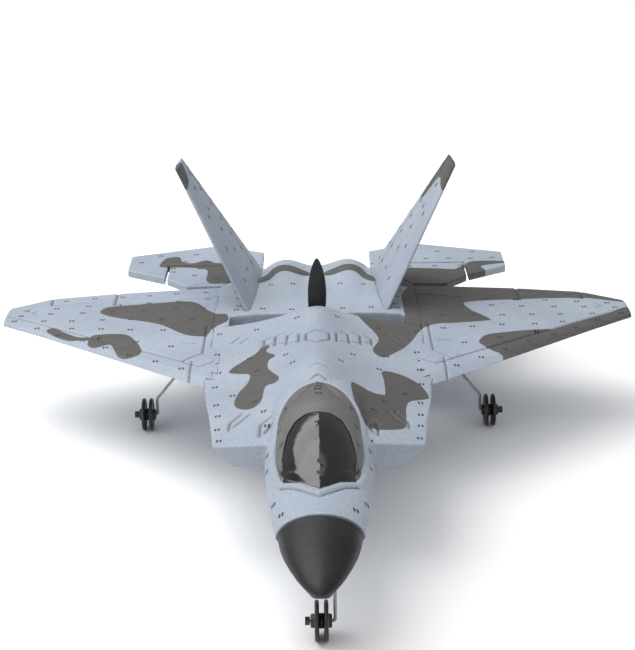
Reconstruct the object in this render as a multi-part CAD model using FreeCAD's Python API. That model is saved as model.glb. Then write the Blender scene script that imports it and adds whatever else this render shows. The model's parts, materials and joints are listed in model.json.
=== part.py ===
import FreeCAD, Part
import math
import os

# A small foam radio-controlled jet: pusher propeller in a slot, canted fins, twin-disc wheels.
# Millimetres. Inside this file a station (Y) is measured aft from the nose tip, a height (Z) from
# the wing plane, and +X is the pilot's left. place() moves every solid into the part's own frame:
# origin midway along the length, on the ground under the wheels.

# ---- driving dimensions ----
LENGTH = 382.0
SPAN = 290.0
WING_HEIGHT = 46.0          # wing plane above the ground

CONE_SEAM = 38.0            # station where the nose cone meets the foam
SPIGOT_R = 5.5              # round plug on the cone, glued into the foam
NOSE_DROP = 8.0             # nose tip below the wing plane
BELLY = -15.0               # flat belly between stations 62 and 160
BODY_HALF = 47.5            # body half-width at the wing root
APEX = 172.0                # station where the wing leading edge starts

SLOT_FRONT = 243.0
SLOT_REAR = 256.0
SLOT_HALF = 40.0

TIP_LE = 258.4
TIP_TE = 282.0
TAIL_ROOT = 309.6           # station where the rear body narrows behind the wing
HINGE_Y = 347.0             # elevator hinge line
TAIL_THICK = 3.6
TAIL_INNER = 27.3
HORN_CUT = 74.3             # outboard edge of the fixed tailplane
HORN_GAP = 1.2
ELEVATOR_GAP = 0.4          # between the tailplane's edge and the elevator's bevelled nose

FIN_FOOT_X = 31.3
FIN_TIP_X = 64.35
FIN_DECK = 5.0
FIN_TIP_Z = 66.0
FIN_THICK = 4.0
FIN_TOE = 2.2              # degrees, leading edge outboard

THRUST_Z = -1.0             # height of the propeller shaft
PROP_RADIUS = 33.6
PROP_Y = 249.5
SHAFT_R = 0.75
TUNNEL_R = 8.2

WHEEL_R = 7.4
AXLE_R = 0.6
WHEEL_BORE_R = 0.66
MAIN_WHEEL = (78.4, 242.0)
NOSE_WHEEL = (0.0, 41.0)

BAY_HALF = 13.5
BAY = (78.0, 205.0)         # stations of the equipment bay
BAY_FLOOR = -11.3
BAY_ROOF = 1.0
HATCH = (80.0, 140.0)
HATCH_FIT = 0.3
HATCH_PIVOT = (14.4, -14.0)
HATCH_KNUCKLE_R = 0.9
HATCH_KNUCKLES = [(92.3, 106.7), (113.3, 127.7)]

LINK = 8.0                  # servo arm length and control horn length
SERVO_PIVOT = (304.5, -4.0)
ROD_R = 0.4
HOLE_R = 0.45
ROD_X = 31.6
ARM_POCKET = (27.4, 31.4)   # X room for the servo arm in the rail
HINGE_STATIONS = (38.0, 66.0)

CANOPY_SEAT = 1.3
GLAZING_HALF = [(0.0, 57.4), (12.3, 69.6), (13.1, 77.0), (12.0, 84.0), (9.2, 90.0), (5.0, 92.8)]
GLAZING_OUTLINE = GLAZING_HALF + [(-x, y) for x, y in reversed(GLAZING_HALF[1:])]

SIDES = {"left": 1, "right": -1}


# ---- geometry helpers ----
def vec(x, y, z):
    return FreeCAD.Vector(x, y, z)


def box(x, y, z):
    """A box from three (low, high) pairs."""
    low = vec(x[0], y[0], z[0])
    return Part.makeBox(x[1] - x[0], y[1] - y[0], z[1] - z[0], low)


def rod(a, b, radius):
    """A round bar from point a to point b."""
    axis = b - a
    return Part.makeCylinder(radius, axis.Length, a, axis)


def rod_x(x, y, z, radius):
    return rod(vec(x[0], y, z), vec(x[1], y, z), radius)


def rod_y(y, radius, x=0.0, z=THRUST_Z):
    return rod(vec(x, y[0], z), vec(x, y[1], z), radius)


def fuse(shapes):
    whole = shapes[0]
    for shape in shapes[1:]:
        whole = whole.fuse(shape)
    return whole.removeSplitter()


def mirror(shape):
    return shape.mirror(vec(0, 0, 0), vec(1, 0, 0))


def both_sides(shape):
    return Part.makeCompound([shape, mirror(shape)])


def on_side(shape, side):
    return shape if side > 0 else mirror(shape)


def spline(points, closed=False):
    curve = Part.BSplineCurve()
    curve.interpolate(points, PeriodicFlag=closed)
    return curve.toShape()


def polygon(points):
    return Part.makePolygon([*points, points[0]])


def prism(outline, z):
    """A plan outline [(x, y), ...] extruded between two heights."""
    wire = polygon([vec(x, y, z[0]) for x, y in outline])
    return Part.Face(wire).extrude(vec(0, 0, z[1] - z[0]))


def side_prism(outline, x):
    """A side outline [(y, z), ...] extruded between two X positions."""
    wire = polygon([vec(x[0], y, z) for y, z in outline])
    return Part.Face(wire).extrude(vec(x[1] - x[0], 0, 0))


def wire_bar(points, radius):
    """A bent round wire: straight runs with a ball at each bend."""
    runs = [rod(a, b, radius) for a, b in zip(points, points[1:])]
    bends = [Part.makeSphere(radius, p) for p in points[1:-1]]
    return fuse(runs + bends)


def dome_section(y, half, chine, top, low_half, low):
    """Closed section: an elliptic top over straight sides and a flat bottom."""
    angles = [math.pi * i / 8 for i in range(9)]
    arch = [vec(half * math.cos(a), y, chine + (top - chine) * math.sin(a)) for a in angles]
    corners = [arch[-1], vec(-low_half, y, low), vec(low_half, y, low), arch[0]]
    lines = [Part.LineSegment(a, b).toShape() for a, b in zip(corners, corners[1:])]
    return Part.Wire([spline(arch)] + lines)


def deck_section(y, half, heights, low_half, low):
    """Closed section: a top curve through heights, from the edge to the centre, and a flat bottom."""
    steps = len(heights) - 1
    right = [vec(half * (1 - i / steps), y, h) for i, h in enumerate(heights)]
    left = [vec(-p.x, y, p.z) for p in reversed(right[:-1])]
    arch = right + left
    corners = [arch[-1], vec(-low_half, y, low), vec(low_half, y, low), arch[0]]
    lines = [Part.LineSegment(a, b).toShape() for a, b in zip(corners, corners[1:])]
    return Part.Wire([spline(arch)] + lines)


def round_section(x, y, half, top, bottom, squareness=3.0):
    """Closed rounded-rectangle section as one smooth curve."""
    points = []
    for i in range(16):
        a = 2 * math.pi * i / 16
        c, s = math.cos(a), math.sin(a)
        dx = half * math.copysign(abs(c) ** (2 / squareness), c)
        dz = 0.5 * (top - bottom) * math.copysign(abs(s) ** (2 / squareness), s)
        points.append(vec(x + dx, y, 0.5 * (top + bottom) + dz))
    return Part.Wire([spline(points, closed=True)])


def loft(sections, ruled=False):
    return Part.makeLoft(sections, True, ruled)


# ---- foam body ----
def make_nose_cone():
    tip = Part.Vertex(vec(0, 0, -NOSE_DROP))
    rings = [
        dome_section(3.0, 3.9, -8.0, -5.2, 2.2, -10.4),
        dome_section(10.0, 7.8, -7.6, -2.7, 4.2, -11.8),
        dome_section(20.0, 11.3, -7.0, 0.0, 6.2, -13.0),
        dome_section(30.0, 13.7, -6.4, 2.0, 7.6, -13.7),
        dome_section(CONE_SEAM, 14.7, -6.0, 3.0, 8.2, -14.0),
    ]
    spigot = rod_y((CONE_SEAM, CONE_SEAM + 5.0), SPIGOT_R, z=-5.5)
    return fuse([loft([tip] + rings), spigot])


def make_forebody():
    """Forebody and keel, from the cone seam to the propeller slot."""
    return loft([
        dome_section(CONE_SEAM, 15.4, -6.0, 3.4, 8.6, -14.3),
        dome_section(52.0, 17.3, -5.0, 4.6, 12.5, -14.6),
        dome_section(66.0, 18.9, -4.2, 6.2, 16.0, -15.8),
        dome_section(84.0, 20.0, -3.4, 8.6, 17.0, -15.8),
        dome_section(106.0, 20.8, -2.8, 11.0, 17.5, -15.8),
        dome_section(134.0, 21.0, -2.6, 15.6, 17.5, -15.8),
        dome_section(165.0, 20.0, -2.6, 9.0, 16.5, -15.0),
        dome_section(205.0, 19.0, -2.6, 5.0, 15.0, -13.0),
        dome_section(SLOT_FRONT, 18.0, -2.6, 4.0, 14.0, -11.8),
    ])


def intake_cutter(side):
    """Solid in front of a raked, undercut intake face."""
    undercut = 0.55
    wires = []
    for z in (25.0, -25.0):
        inner = 99.1 - undercut * z
        outer = inner + 12.0
        wires.append(polygon([
            vec(0, 60, z),
            vec(side * 62, 60, z),
            vec(side * 62, outer, z),
            vec(0, inner, z),
        ]))
    return loft(wires, ruled=True)


def make_trunk():
    """Intake trunks, strakes and spine, one solid from the intakes to the propeller slot."""
    trunk = loft([
        deck_section(96.0, 39.6, [0.0, 0.9, 2.0, 3.2, 4.4, 4.8], 32.0, -9.0),
        deck_section(110.0, 41.0, [0.0, 1.2, 2.8, 4.8, 7.2, 8.4], 33.0, -9.6),
        deck_section(135.0, 43.6, [0.3, 2.0, 4.2, 7.4, 12.2, 15.9], 35.0, -10.4),
        deck_section(APEX, BODY_HALF, [1.0, 2.6, 4.8, 8.0, 12.2, 15.2], 38.0, -11.0),
        deck_section(210.0, BODY_HALF, [2.5, 3.4, 5.2, 7.8, 11.0, 13.6], 40.0, -11.0),
        deck_section(SLOT_FRONT, BODY_HALF, [2.7, 3.6, 5.0, 7.2, 9.9, 12.0], 40.0, -11.0),
    ])
    return trunk.cut(intake_cutter(1)).cut(intake_cutter(-1))


def make_bubble():
    """The whole canopy bubble as one solid, from its V tip to the spine."""
    sections = [(53.0, 0.8, 4.9), (61.0, 8.1, 8.4), (71.0, 13.5, 13.2), (84.0, 16.2, 17.8)]
    sections += [(97.0, 16.6, 19.8), (110.0, 15.0, 19.4), (122.0, 11.5, 18.2), (134.0, 4.0, 16.2)]
    return loft([dome_section(y, half, 2.0, top, half, 1.0) for y, half, top in sections])


def make_canopy(bubble, body):
    """Glazing shell and fairing, both let a little way into the foam they sit on."""
    inner = bubble.copy()
    inner.scale(0.94, vec(0, 97, 2.0))
    seat = body.copy()
    seat.translate(vec(0, 0, -CANOPY_SEAT))
    column = prism(GLAZING_OUTLINE, (-5, 30))
    shell = bubble.common(column).cut(inner).cut(seat)
    behind = box((-30, 30), (75.0, 140.0), (-5, 30))
    fairing = bubble.common(behind).cut(column).cut(seat)
    return shell, fairing


def make_bay():
    """Equipment bay, its hatch recess and opening, and the duct to the motor."""
    cavity = box((-BAY_HALF, BAY_HALF), BAY, (BAY_FLOOR, BAY_ROOF))
    recess = box((-BAY_HALF, BAY_HALF), HATCH, (-20, -12.8))
    mouth = box((-9.5, BAY_HALF), HATCH, (-12.8, BAY_FLOOR))
    duct = rod_y((BAY[1], 222.0), 1.8, z=-4.0)
    hinge_slot = box((BAY_HALF - 0.5, 16.0), HATCH, (-20, -12.7))
    return fuse([cavity, recess, mouth, duct, hinge_slot])


def make_forward_fuselage(body, bubble, shell, fairing):
    body = body.fuse(bubble).removeSplitter()
    body = body.cut(box((-80, 80), (0, 300), (-40, BELLY)))
    body = body.cut(shell).cut(fairing)
    tunnel = rod_y((222.0, SLOT_FRONT), TUNNEL_R)
    return body.cut(make_bay()).cut(tunnel)


def make_rear_fuselage():
    """Side rails beside the slot, one deck behind it with two broad humps, and the tail root."""
    deck = loft([
        deck_section(SLOT_FRONT, BODY_HALF, [2.7, 3.7, 4.4, 4.5, 4.5, 4.5], 40.5, -7.0),
        deck_section(275.0, BODY_HALF, [2.6, 3.9, 4.7, 4.8, 4.8, 4.8], 41.5, -5.0),
        deck_section(TAIL_ROOT, BODY_HALF, [1.8, 3.6, 4.7, 4.8, 4.6, 4.4], 43.0, -3.0),
    ])
    slot = box((-SLOT_HALF, SLOT_HALF), (SLOT_FRONT - 1, SLOT_REAR), (-30, 30))
    fillet = loft([
        deck_section(TAIL_ROOT, 47.4, [1.4, 3.4, 4.6, 4.7, 4.5, 4.3], 43.0, -3.0),
        deck_section(322.0, 41.0, [1.3, 2.4, 3.5, 3.9, 3.4, 3.0], 37.0, -2.6),
        deck_section(336.4, 35.4, [1.2, 2.2, 2.9, 3.0, 2.4, 2.0], 34.8, -2.4),
    ])
    humps = loft([
        deck_section(SLOT_REAR, 27.0, [4.2, 4.4, 4.5, 4.5, 4.5, 4.5], 25.0, -9.5),
        deck_section(285.0, 27.0, [4.0, 4.8, 5.2, 5.0, 4.5, 4.2], 25.0, -9.3),
        deck_section(305.0, 27.0, [2.6, 5.0, 5.9, 5.3, 4.0, 3.4], 24.6, -8.8),
        deck_section(320.0, 27.0, [1.0, 5.0, 6.2, 5.4, 3.6, 2.8], 24.0, -8.2),
        deck_section(350.0, 26.6, [-2.0, 1.6, 3.0, 2.2, 0.4, -0.4], 22.0, -6.5),
    ])
    channel = box((-5.6, 5.6), (SLOT_REAR - 1, 360.0), (-20.0, -7.0))
    y, z = SERVO_PIVOT
    arm_pocket = box(ARM_POCKET, (y - 3.2, y + 3.2), (-20.0, z + 2.8))
    return fuse([deck.cut(slot), fillet, humps.cut(channel)]).cut(both_sides(arm_pocket))


def wing_section(x, front, rear, thick):
    """Flat-bottomed foam wing section at one spanwise position."""
    chord = rear - front
    half = thick / 2
    outline = [
        (front, 0.0),
        (front + 0.06 * chord, 0.72 * half),
        (front + 0.2 * chord, half),
        (front + 0.7 * chord, half),
        (rear, 0.35 * half),
        (rear, -0.35 * half),
        (front + 0.7 * chord, -half),
        (front + 0.2 * chord, -half),
        (front + 0.06 * chord, -0.72 * half),
    ]
    return polygon([vec(x, y, z) for y, z in outline])


def leading_edge(x):
    slope = (TIP_LE - APEX) / (SPAN / 2 - BODY_HALF)
    return APEX + slope * (x - BODY_HALF)


def make_wing():
    """Left wing: straight swept leading edge, kinked trailing edge, thinning to the tip."""
    stations = [(42.0, 309.5, 5.7), (BODY_HALF, 309.5, 5.5), (96.5, 302.8, 4.4)]
    stations += [(127.0, 296.0, 3.6), (SPAN / 2, TIP_TE, 3.0)]
    return loft([wing_section(x, leading_edge(x), rear, t) for x, rear, t in stations], True)


def fin_section(z, front, rear, thick):
    """Streamlined section of an upright fin at one height, thin at both edges."""
    chord = rear - front
    shape = [(0.0, 0.3), (0.05, 0.6), (0.25, 0.95), (0.5, 1.0), (0.8, 0.7), (1.0, 0.25)]
    right = [vec(w * thick / 2, front + c * chord, z) for c, w in shape]
    left = [vec(-p.x, p.y, p.z) for p in reversed(right)]
    return polygon(right + left)


def make_fin():
    """Left fin: swept, tapered, toed out and leaning outward, its foot let into the deck."""
    height = FIN_TIP_Z - FIN_DECK
    lean = math.atan2(FIN_TIP_X - FIN_FOOT_X, height)
    sink = 4.0 / math.cos(lean)
    reach = height / math.cos(lean)
    fin = loft([
        fin_section(-sink, 259.3, 336.7, FIN_THICK),
        fin_section(0.0, 261.0, 335.0, FIN_THICK),
        fin_section(reach, 287.0, 309.0, 0.7 * FIN_THICK),
    ], ruled=True)
    fin.rotate(vec(0, 298, 0), vec(0, 0, 1), FIN_TOE)
    fin.rotate(vec(0, 0, 0), vec(0, 1, 0), math.degrees(lean))
    fin.translate(vec(FIN_FOOT_X, 0, FIN_DECK))
    return fin


def make_tailplane():
    """Left tailplane: the fixed plate in front of the hinge line."""
    rear = HINGE_Y - TAIL_THICK / 2 - ELEVATOR_GAP
    outline = [
        (30.0, TAIL_ROOT),
        (63.6, TAIL_ROOT + 0.1),
        (HORN_CUT, 322.8),
        (HORN_CUT, rear),
        (TAIL_INNER, rear),
        (TAIL_INNER, 330.0),
    ]
    return prism(outline, (-TAIL_THICK / 2, TAIL_THICK / 2))


def make_elevator():
    """Left elevator: rear strip with a full-chord horn outboard of the cut."""
    outline = [
        (TAIL_INNER, HINGE_Y),
        (HORN_CUT + HORN_GAP, HINGE_Y),
        (HORN_CUT + HORN_GAP, 323.7),
        (95.3, 338.4),
        (95.7, 363.8),
        (51.3, LENGTH),
        (TAIL_INNER, 368.0),
    ]
    half = TAIL_THICK / 2
    plate = prism(outline, (-half, half))
    front = HINGE_Y - half
    bevel = [(HINGE_Y, half), (front + 0.8, half), (front, 0.8)]
    bevel += [(y, -z) for y, z in reversed(bevel)]
    foam = fuse([plate, side_prism(bevel, (TAIL_INNER, HORN_CUT + HORN_GAP))])
    for x in HINGE_STATIONS:
        foam = foam.cut(box((x - 2.6, x + 2.6), (front - 1, HINGE_Y + 1.45), (-1.3, 1.3)))
    return foam


# ---- elevator hinges ----
def knuckle(x, bore):
    return rod_x(x, HINGE_Y, 0, 1.1).cut(rod_x((x[0] - 1, x[1] + 1), HINGE_Y, 0, bore))


def make_fixed_leaves():
    leaves = []
    for x in HINGE_STATIONS:
        plate = box((x - 2.2, x + 2.2), (337.0, HINGE_Y - 1.4), (-0.3, 0.3))
        tongue = box((x - 0.8, x + 0.8), (HINGE_Y - 1.6, HINGE_Y - 0.7), (-0.3, 0.3))
        leaves.append(fuse([plate, tongue, knuckle((x - 0.8, x + 0.8), ROD_R)]))
    return Part.makeCompound(leaves)


def make_moving_leaves():
    leaves = []
    for x in HINGE_STATIONS:
        plate = box((x - 2.2, x + 2.2), (HINGE_Y + 1.4, 356.0), (-0.3, 0.3))
        pieces = [plate]
        for a, b in ((x - 2.2, x - 1.0), (x + 1.0, x + 2.2)):
            pieces.append(box((a, b), (HINGE_Y + 0.7, HINGE_Y + 1.6), (-0.3, 0.3)))
            pieces.append(knuckle((a, b), HOLE_R))
        leaves.append(fuse(pieces))
    return Part.makeCompound(leaves)


def make_hinge_pins():
    pins = []
    for side in SIDES.values():
        for x in HINGE_STATIONS:
            pins.append(on_side(rod_x((x - 2.4, x + 2.4), HINGE_Y, 0, ROD_R), side))
    return Part.makeCompound(pins)


# ---- elevator linkage ----
def make_servo():
    """Left servo lying in the nacelle, output stub pointing outboard."""
    y, z = SERVO_PIVOT
    case = box((13.0, 27.4), (292.0, 308.6), (-8.0, 0.0))
    ears = box((24.0, 25.0), (289.6, 311.0), (-7.4, -0.6))
    boss = rod_x((27.4, 28.8), y, z, 2.4)
    stub = rod_x((28.8, 30.9), y, z, 1.3)
    body = fuse([case, ears, boss, stub])
    for hole in servo_screw_places():
        body = body.cut(rod_x((23.0, 26.0), hole[0], hole[1], 0.5))
    return body


def servo_screw_places():
    return [(290.8, -4.0), (309.8, -4.0)]


def make_servo_screws():
    screws = []
    for side in SIDES.values():
        for y, z in servo_screw_places():
            shank = rod_x((20.0, 25.0), y, z, 0.5)
            head = rod_x((25.0, 25.9), y, z, 1.0)
            screws.append(on_side(fuse([shank, head]), side))
    return Part.makeCompound(screws)


def make_servo_arm():
    """Arm on the servo's output stub, pointing down, with the rod hole at its end."""
    y, z = SERVO_PIVOT
    width = (29.1, 30.7)
    hub = rod_x(width, y, z, 2.4)
    eye = rod_x(width, y, z - LINK, 1.2)
    web = side_prism([(y - 1.7, z), (y + 1.7, z), (y + 1.1, z - LINK), (y - 1.1, z - LINK)], width)
    arm = fuse([hub, web, eye])
    arm = arm.cut(rod_x((28.0, 32.0), y, z, 1.36))
    return arm.cut(rod_x((28.0, 32.0), y, z - LINK, HOLE_R))


def make_pushrod():
    """Bent wire: a cross pin through the arm, a straight run, a cross pin through the horn."""
    y, z = SERVO_PIVOT
    front = (y, z - LINK)
    rear = (HINGE_Y, -LINK)
    return wire_bar([
        vec(28.7, *front),
        vec(ROD_X, *front),
        vec(ROD_X, *rear),
        vec(29.0, *rear),
    ], ROD_R)


def make_control_horn():
    """Horn under the elevator, its hole straight below the hinge line."""
    width = (29.4, 30.4)
    under = -TAIL_THICK / 2
    base = box((27.9, 33.9), (349.2, 357.0), (under - 0.8, under))
    outline = [(349.4, under), (356.0, under), (348.2, -LINK - 0.9), (345.9, -LINK - 0.3)]
    blade = side_prism(outline, width)
    eye = rod_x(width, HINGE_Y, -LINK, 1.2)
    return fuse([base, blade, eye]).cut(rod_x((28.0, 32.0), HINGE_Y, -LINK, HOLE_R))


# ---- motor and propeller ----
def motor_screw_places():
    return [(4.5 * a, THRUST_Z + 4.5 * b) for a in (-1, 1) for b in (-1, 1)]


def firewall_blank():
    return box((-9.5, 9.5), (220.0, 222.0), (THRUST_Z - 8.8, THRUST_Z + 9.5))


def make_firewall():
    plate = firewall_blank().cut(rod_y((219.0, 223.0), 2.0))
    for x, z in motor_screw_places():
        plate = plate.cut(rod_y((219.0, 223.0), 0.8, x, z))
    return plate


def make_motor_stator():
    """Base disc, bearing tube and winding core."""
    base = rod_y((222.0, 223.6), 7.9)
    tube = rod_y((223.6, 236.0), 2.4)
    core = rod_y((226.4, 234.4), 5.3)
    stator = fuse([base, tube, core]).cut(rod_y((221.0, 237.0), 1.5))
    for x, z in motor_screw_places():
        stator = stator.cut(rod_y((221.0, 224.0), 1.0, x, z))
    return stator


def make_motor_bearings():
    rings = []
    for y in (222.2, 234.0):
        ring = rod_y((y, y + 2.0), 1.5).cut(rod_y((y - 1, y + 3), SHAFT_R + 0.05))
        rings.append(ring)
    return Part.makeCompound(rings)


def make_motor_screws():
    screws = []
    for x, z in motor_screw_places():
        head = rod_y((223.6, 224.8), 1.6, x, z)
        shank = rod_y((220.0, 223.6), 0.8, x, z)
        screws.append(fuse([head, shank]))
    return Part.makeCompound(screws)


def make_motor_bell():
    cup = rod_y((225.4, 238.2), 6.9).cut(rod_y((225.0, 237.0), 6.0))
    return cup.cut(rod_y((236.0, 239.0), SHAFT_R))


def blade_section(radius, chord, pitch, thick):
    """Thin four-sided section across a blade, turned by its pitch."""
    c = math.cos(math.radians(pitch))
    s = math.sin(math.radians(pitch))
    corners = [(-chord / 2, 0), (0, thick / 2), (chord / 2, 0), (0, -thick / 2)]
    points = [vec(a * c - b * s, PROP_Y + a * s + b * c, THRUST_Z + radius) for a, b in corners]
    return polygon(points)


def make_propeller():
    """Two leaf-shaped blades on a hub, upright at rest."""
    blade = loft([
        blade_section(2.0, 4.6, 40, 2.6),
        blade_section(8.0, 7.4, 34, 2.0),
        blade_section(15.0, 9.6, 26, 1.5),
        blade_section(22.0, 9.0, 20, 1.2),
        blade_section(29.0, 6.4, 15, 0.9),
        blade_section(PROP_RADIUS, 1.6, 12, 0.6),
    ])
    other = blade.copy()
    other.rotate(vec(0, PROP_Y, THRUST_Z), vec(0, 1, 0), 180)
    hub = rod_y((246.6, 252.4), 3.2)
    return fuse([hub, blade, other]).cut(rod_y((240.0, 256.0), SHAFT_R))


def make_propeller_nut():
    nut = rod_y((252.4, 254.4), 2.0)
    return nut.cut(rod_y((252.0, 255.0), SHAFT_R))


# ---- equipment in the bay ----
def make_equipment_tray():
    tray = box((-12.5, 12.5), (80.0, 200.0), (BAY_ROOF - 1.2, BAY_ROOF))
    for side in SIDES.values():
        slot = on_side(box((8.5, 9.1), (101.0, 111.0), (-1, 2)), side)
        tray = tray.cut(slot)
    return tray


def make_battery():
    pack = box((-8.5, 8.5), (85.0, 127.0), (-10.4, BAY_ROOF - 1.2))
    edges = [e for e in pack.Edges if abs(e.Vertexes[0].Y - e.Vertexes[1].Y) > 1]
    return pack.makeFillet(1.5, edges)


def make_battery_strap():
    loop = box((-9.1, 9.1), (101.0, 111.0), (-11.0, BAY_ROOF))
    return loop.cut(box((-8.5, 8.5), (100.0, 112.0), (-10.4, BAY_ROOF + 1)))


def make_battery_plug():
    roof = BAY_ROOF - 1.2
    socket = box((1.0, 8.0), (142.0, 146.0), (roof - 4.6, roof))
    plug = box((1.8, 7.2), (146.0, 149.0), (roof - 4.0, roof - 0.6))
    return fuse([socket, plug])


def make_flight_controller():
    roof = BAY_ROOF - 1.2
    board = box((-10.0, 10.0), (152.0, 176.0), (roof - 1.2, roof))
    chips = [box((-6.0, -1.0), (156.0, 161.0), (roof - 2.2, roof - 1.2))]
    chips.append(box((2.0, 8.0), (162.0, 168.0), (roof - 2.4, roof - 1.2)))
    for i in range(4):
        x = -9.0 + 4.6 * i
        chips.append(box((x, x + 3.6), (170.0, 175.5), (roof - 3.8, roof - 1.2)))
    return fuse([board] + chips)


def make_speed_controller():
    roof = BAY_ROOF - 1.2
    board = box((-6.0, 6.0), (180.0, 198.0), (roof - 1.0, roof))
    caps = [box((-4.0, 4.0), (183.0, 191.0), (roof - 3.2, roof - 1.0))]
    caps.append(box((-5.0, 5.0), (193.0, 196.0), (roof - 2.6, roof - 1.0)))
    return fuse([board] + caps)


# ---- battery hatch ----
def make_battery_hatch():
    y = (HATCH[0] + HATCH_FIT, HATCH[1] - HATCH_FIT)
    side = BAY_HALF - HATCH_FIT
    lid = box((-side, side), y, (BELLY, -13.0))
    x, z = HATCH_PIVOT
    pieces = [lid]
    for ends in HATCH_KNUCKLES:
        pieces.append(box((side - 1.0, x), ends, (z - 0.5, z + 0.5)))
        pieces.append(rod_y(ends, HATCH_KNUCKLE_R, x, z))
    hatch = fuse(pieces)
    hatch = hatch.cut(rod_y((80.0, 140.0), HOLE_R, x, z))
    return hatch.cut(make_hatch_magnet())


def make_hatch_hinge_leaf():
    """Fixed leaf on the outboard wall of the hinge slot, with three knuckles."""
    x, z = HATCH_PIVOT
    pieces = [box((15.6, 16.0), (86.0, 134.0), (z - 0.6, z + 1.1))]
    for ends in ((86.0, 92.0), (107.0, 113.0), (128.0, 134.0)):
        pieces.append(box((x, 15.7), ends, (z - 0.5, z + 0.5)))
        pieces.append(rod_y(ends, HATCH_KNUCKLE_R, x, z))
    return fuse(pieces).cut(rod_y((80.0, 140.0), ROD_R, x, z))


def make_catch_magnet():
    return rod(vec(-11.5, 110, -12.8), vec(-11.5, 110, -11.6), 2.0)


def make_hatch_magnet():
    return rod(vec(-11.5, 110, -14.2), vec(-11.5, 110, -13.0), 2.0)


def make_hatch_pin():
    x, z = HATCH_PIVOT
    return rod_y((86.0, 134.0), ROD_R, x, z)


# ---- landing gear ----
def make_wheel(x, y):
    """Two thin discs on one hub, bored for the axle."""
    z = WHEEL_R - WING_HEIGHT
    pieces = [rod_x((x - 3.7, x + 3.9), y, z, 2.5)]
    for middle in (x - 1.65, x + 1.65):
        disc = rod_x((middle - 0.8, middle + 0.8), y, z, WHEEL_R)
        rims = [e for e in disc.Edges if e.Closed and abs(e.Length - 2 * math.pi * WHEEL_R) < 0.01]
        pieces.append(disc.makeFillet(0.6, rims))
    return fuse(pieces).cut(rod_x((x - 6, x + 6), y, z, WHEEL_BORE_R))


def make_main_leg():
    """Left main leg: axle, upright, and a slanting run up to the block in the wing root."""
    x, y = MAIN_WHEEL
    axle = WHEEL_R - WING_HEIGHT
    upright = x - 4.5
    knee = axle + 7.6
    top = upright - 0.82 * (-4.0 - knee)
    return wire_bar([
        vec(x + 5.3, y, axle),
        vec(upright, y, axle),
        vec(upright, y, knee),
        vec(top, y, -4.0),
        vec(top, y, -1.4),
    ], AXLE_R)


def make_nose_leg():
    """Nose leg: axle, raked upright beside the wheel, and its end in the belly block."""
    x, y = NOSE_WHEEL
    axle = WHEEL_R - WING_HEIGHT
    return wire_bar([
        vec(x - 5.2, y, axle),
        vec(x + 4.8, y, axle),
        vec(x + 4.8, 47.0, -16.5),
        vec(x + 4.8, 47.0, -12.0),
    ], AXLE_R)


def make_axle_caps():
    """Three alike: one on each axle's free end."""
    z = WHEEL_R - WING_HEIGHT
    caps = []
    for side in SIDES.values():
        x, y = MAIN_WHEEL
        cap = rod_x((x + 4.2, x + 5.9), y, z, 1.5).cut(rod_x((x, x + 5.3), y, z, AXLE_R))
        caps.append(on_side(cap, side))
    x, y = NOSE_WHEEL
    caps.append(rod_x((x - 5.8, x - 4.1), y, z, 1.5).cut(rod_x((x - 5.2, x), y, z, AXLE_R)))
    return Part.makeCompound(caps)


# ---- assembly ----
def place(shape):
    """Moves a solid from nose-tip stations and wing-plane heights into the part's frame."""
    placed = shape.copy()
    placed.translate(vec(0, -LENGTH / 2, WING_HEIGHT))
    return placed


def export(nodes):
    os.makedirs("parts", exist_ok=True)
    for name, shape in nodes.items():
        place(shape).exportStep("parts/%s.step" % name)
        print("%-22s solids %d  %9.1f mm3  valid %s" % (name, len(shape.Solids), shape.Volume, shape.isValid()))


def build_body(nodes):
    """Foam mouldings, each cut to fit what is let into it."""
    bubble = make_bubble()
    body = fuse([make_forebody(), make_trunk()])
    shell, fairing = make_canopy(bubble, body)
    forward = make_forward_fuselage(body, bubble, shell, fairing)
    nodes["nose_cone"] = make_nose_cone()
    nodes["canopy_glazing"] = shell
    nodes["canopy_fairing"] = fairing
    nodes["wing_spar"] = box((-80, 80), (212.0, 217.0), (-0.6, 0.6))
    nodes["firewall"] = make_firewall()
    nose_block = box((-1.0, 8.5), (43.3, 53.0), (-15.2, -10.5))
    nodes["nose_gear_block"] = nose_block.cut(make_nose_leg())
    nodes["catch_magnet"] = make_catch_magnet()
    for name in ("nose_cone", "wing_spar", "firewall", "catch_magnet"):
        forward = forward.cut(nodes[name])
    forward = forward.cut(nose_block).cut(firewall_blank())
    nodes["forward_fuselage"] = forward
    fin = make_fin()
    servo = make_servo()
    rear = make_rear_fuselage().cut(both_sides(fin)).cut(both_sides(servo)).cut(make_servo_screws())
    nodes["rear_fuselage"] = rear
    leg = make_main_leg()
    gear_block = box((47.6, 57.0), (237.0, 247.0), (-4.4, -0.8))
    wing = make_wing().cut(forward).cut(rear).cut(nodes["wing_spar"]).cut(gear_block)
    tailplane = make_tailplane().cut(rear).cut(fin).cut(make_fixed_leaves())
    for name, side in SIDES.items():
        nodes[name + "_wing"] = on_side(wing, side)
        nodes[name + "_fin"] = on_side(fin, side)
        nodes[name + "_tailplane"] = on_side(tailplane, side)
        nodes[name + "_gear_block"] = on_side(gear_block.cut(leg), side)
        nodes[name + "_servo"] = on_side(servo, side)


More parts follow.
